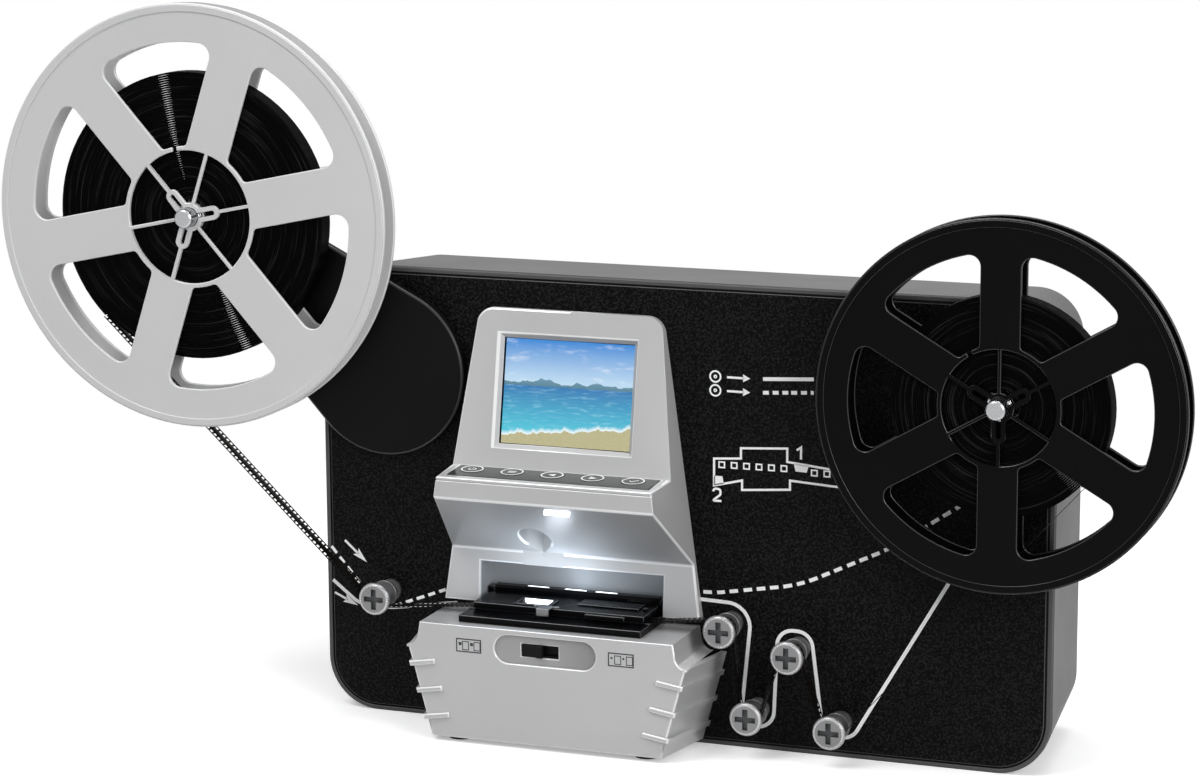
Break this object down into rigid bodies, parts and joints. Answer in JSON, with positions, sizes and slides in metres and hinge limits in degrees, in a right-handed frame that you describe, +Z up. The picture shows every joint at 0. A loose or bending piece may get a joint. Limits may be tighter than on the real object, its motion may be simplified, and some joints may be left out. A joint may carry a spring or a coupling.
{
  "type": "film scanner",
  "caption": "Desktop movie film scanner: black front cover, scan head with small screen over a hinged film gate, guide rollers, take-up reel and a supply reel on a swinging arm.",
  "frame": {"origin": "middle of the part's box, on the table", "axes": "+X to the right seen from the front, +Y to the back, +Z up; the screen and reels face -Y"},
  "size_m": [0.504, 0.1084, 0.2959],
  "materials": {
    "cover_black": "fine leather grain, satin",
    "housing_gray": "fine texture, satin",
    "silver_plastic": "silver paint, satin",
    "arm_black": "smooth, satin gloss",
    "reel_gray": "smooth, semi gloss",
    "reel_black": "smooth, gloss",
    "film_black": "gloss",
    "key_gloss": "gloss",
    "screen_lit": "lit picture",
    "clear_window": "clear, polished",
    "gate_black": "satin",
    "control_black": "satin",
    "screw_steel": "satin",
    "spindle_chrome": "polished",
    "sheet_steel": "satin",
    "bearing_brass": "satin",
    "gear_nylon": "satin",
    "circuit_green": "lacquered board",
    "board_white": "lacquered board",
    "diffuser_white": "translucent, satin",
    "foot_rubber": "matt"
  },
  "bodies": {
    "housing": {"front_cover": "cover_black", "rear_housing": "housing_gray", "scan_head": "silver_plastic", "scan_base": "silver_plastic", "lcd_panel": "screen_lit", "screen_window": "clear_window", "key_strip": "key_gloss", "key_board": "circuit_green", "main_board": "circuit_green", "camera_board": "circuit_green", "lens_barrel": "control_black", "lens_glass": "clear_window", "light_board": "board_white", "light_diffuser": "diffuser_white", "gate_plate": "gate_black", "gate_hinge_pin": "screw_steel", "switch_plate": "control_black", "guide_screws": "screw_steel", "film_supply_strand": "film_black", "film_strip": "film_black", "takeup_bush": "bearing_brass", "drive_motor": "sheet_steel", "claw_bracket": "sheet_steel", "advance_motor": "sheet_steel", "power_inlet": "control_black", "usb_port": "screw_steel", "card_slot": "screw_steel", "rubber_feet": "foot_rubber", "housing_screws": "screw_steel"},
    "supply_arm": {"supply_arm": "arm_black", "arm_retainer": "sheet_steel"},
    "supply_reel": {"supply_spindle": "spindle_chrome", "supply_clutch": "control_black", "supply_reel_front": "reel_gray", "supply_reel_rear": "reel_gray", "supply_film": "film_black"},
    "takeup_reel": {"takeup_spindle": "spindle_chrome", "takeup_reel_front": "reel_black", "takeup_reel_rear": "reel_black", "takeup_film": "film_black", "takeup_gear": "gear_nylon"},
    "motor_pinion": {"motor_pinion": "bearing_brass"},
    "gate": {"gate_door": "gate_black", "gate_latch": "sheet_steel"},
    "switch_slider": {"switch_slider": "control_black"},
    "film_claw": {"film_claw": "sheet_steel"},
    "claw_cam": {"claw_cam": "gear_nylon"},
    "guide_roller_1": {"guide_roller_1": "screw_steel"},
    "guide_roller_2": {"guide_roller_2": "screw_steel"},
    "guide_roller_3": {"guide_roller_3": "screw_steel"},
    "guide_roller_4": {"guide_roller_4": "screw_steel"},
    "guide_roller_5": {"guide_roller_5": "screw_steel"},
    "key_power": {"key_power": "key_gloss"},
    "key_menu": {"key_menu": "key_gloss"},
    "key_left": {"key_left": "key_gloss"},
    "key_right": {"key_right": "key_gloss"},
    "key_ok": {"key_ok": "key_gloss"}
  },
  "joints": [
    {"name": "arm_swing", "type": "hinge", "parent": "housing", "child": "supply_arm", "pos_m": [-0.08299, -0.0198, 0.146], "axis": [0, 1, 0], "range_deg": [-60, 42], "deforming": ["film_supply_strand"]},
    {"name": "supply_spin", "type": "hinge", "parent": "supply_arm", "child": "supply_reel", "pos_m": [-0.16401, -0.03155, 0.20795], "axis": [0, 1, 0], "continuous": true},
    {"name": "takeup_spin", "type": "hinge", "parent": "housing", "child": "takeup_reel", "pos_m": [0.17902, -0.03155, 0.1503], "axis": [0, 1, 0], "continuous": true},
    {"name": "pinion_spin", "type": "hinge", "parent": "housing", "child": "motor_pinion", "pos_m": [0.16206, -0.0087, 0.1503], "axis": [0, 1, 0], "continuous": true},
    {"name": "gate_swing", "type": "hinge", "parent": "housing", "child": "gate", "pos_m": [-0.00188, -0.0146, 0.0551], "axis": [-1, 0, 0], "range_deg": [0, 45]},
    {"name": "switch_slide", "type": "slide", "parent": "housing", "child": "switch_slider", "axis": [1, 0, 0], "range_m": [0, 0.006]},
    {"name": "claw_stroke", "type": "slide", "parent": "housing", "child": "film_claw", "axis": [1, 0, 0], "range_m": [-0.0021, 0.0021]},
    {"name": "cam_spin", "type": "hinge", "parent": "housing", "child": "claw_cam", "pos_m": [0.01612, -0.0298, 0.0324], "axis": [0, 1, 0], "continuous": true},
    {"name": "roller_1_spin", "type": "hinge", "parent": "housing", "child": "guide_roller_1", "pos_m": [-0.08349, -0.03155, 0.0526], "axis": [0, 1, 0], "continuous": true},
    {"name": "roller_2_spin", "type": "hinge", "parent": "housing", "child": "guide_roller_2", "pos_m": [0.06652, -0.03155, 0.0519], "axis": [0, 1, 0], "continuous": true},
    {"name": "roller_3_spin", "type": "hinge", "parent": "housing", "child": "guide_roller_3", "pos_m": [0.07781, -0.03155, 0.0171], "axis": [0, 1, 0], "continuous": true},
    {"name": "roller_4_spin", "type": "hinge", "parent": "housing", "child": "guide_roller_4", "pos_m": [0.09471, -0.03155, 0.0438], "axis": [0, 1, 0], "continuous": true},
    {"name": "roller_5_spin", "type": "hinge", "parent": "housing", "child": "guide_roller_5", "pos_m": [0.11242, -0.03155, 0.0148], "axis": [0, 1, 0], "continuous": true},
    {"name": "key_power_press", "type": "slide", "parent": "housing", "child": "key_power", "axis": [0, 0.0499, -0.9988], "range_m": [0, 0.0005], "stiffness_N_per_m": 400},
    {"name": "key_menu_press", "type": "slide", "parent": "housing", "child": "key_menu", "axis": [0, 0.0499, -0.9988], "range_m": [0, 0.0005], "stiffness_N_per_m": 400},
    {"name": "key_left_press", "type": "slide", "parent": "housing", "child": "key_left", "axis": [0, 0.0499, -0.9988], "range_m": [0, 0.0005], "stiffness_N_per_m": 400},
    {"name": "key_right_press", "type": "slide", "parent": "housing", "child": "key_right", "axis": [0, 0.0499, -0.9988], "range_m": [0, 0.0005], "stiffness_N_per_m": 400},
    {"name": "key_ok_press", "type": "slide", "parent": "housing", "child": "key_ok", "axis": [0, 0.0499, -0.9988], "range_m": [0, 0.0005], "stiffness_N_per_m": 400}
  ],
  "couplings": [
    {"joint": "pinion_spin", "follows": "takeup_spin", "ratio": -3},
    {"joint": "supply_spin", "follows": "takeup_spin", "ratio": 0.7278},
    {"joint": "roller_1_spin", "follows": "takeup_spin", "ratio": 11.075},
    {"joint": "roller_2_spin", "follows": "takeup_spin", "ratio": -11.075},
    {"joint": "roller_3_spin", "follows": "takeup_spin", "ratio": 11.075},
    {"joint": "roller_4_spin", "follows": "takeup_spin", "ratio": -11.075},
    {"joint": "roller_5_spin", "follows": "takeup_spin", "ratio": 11.075}
  ]
}
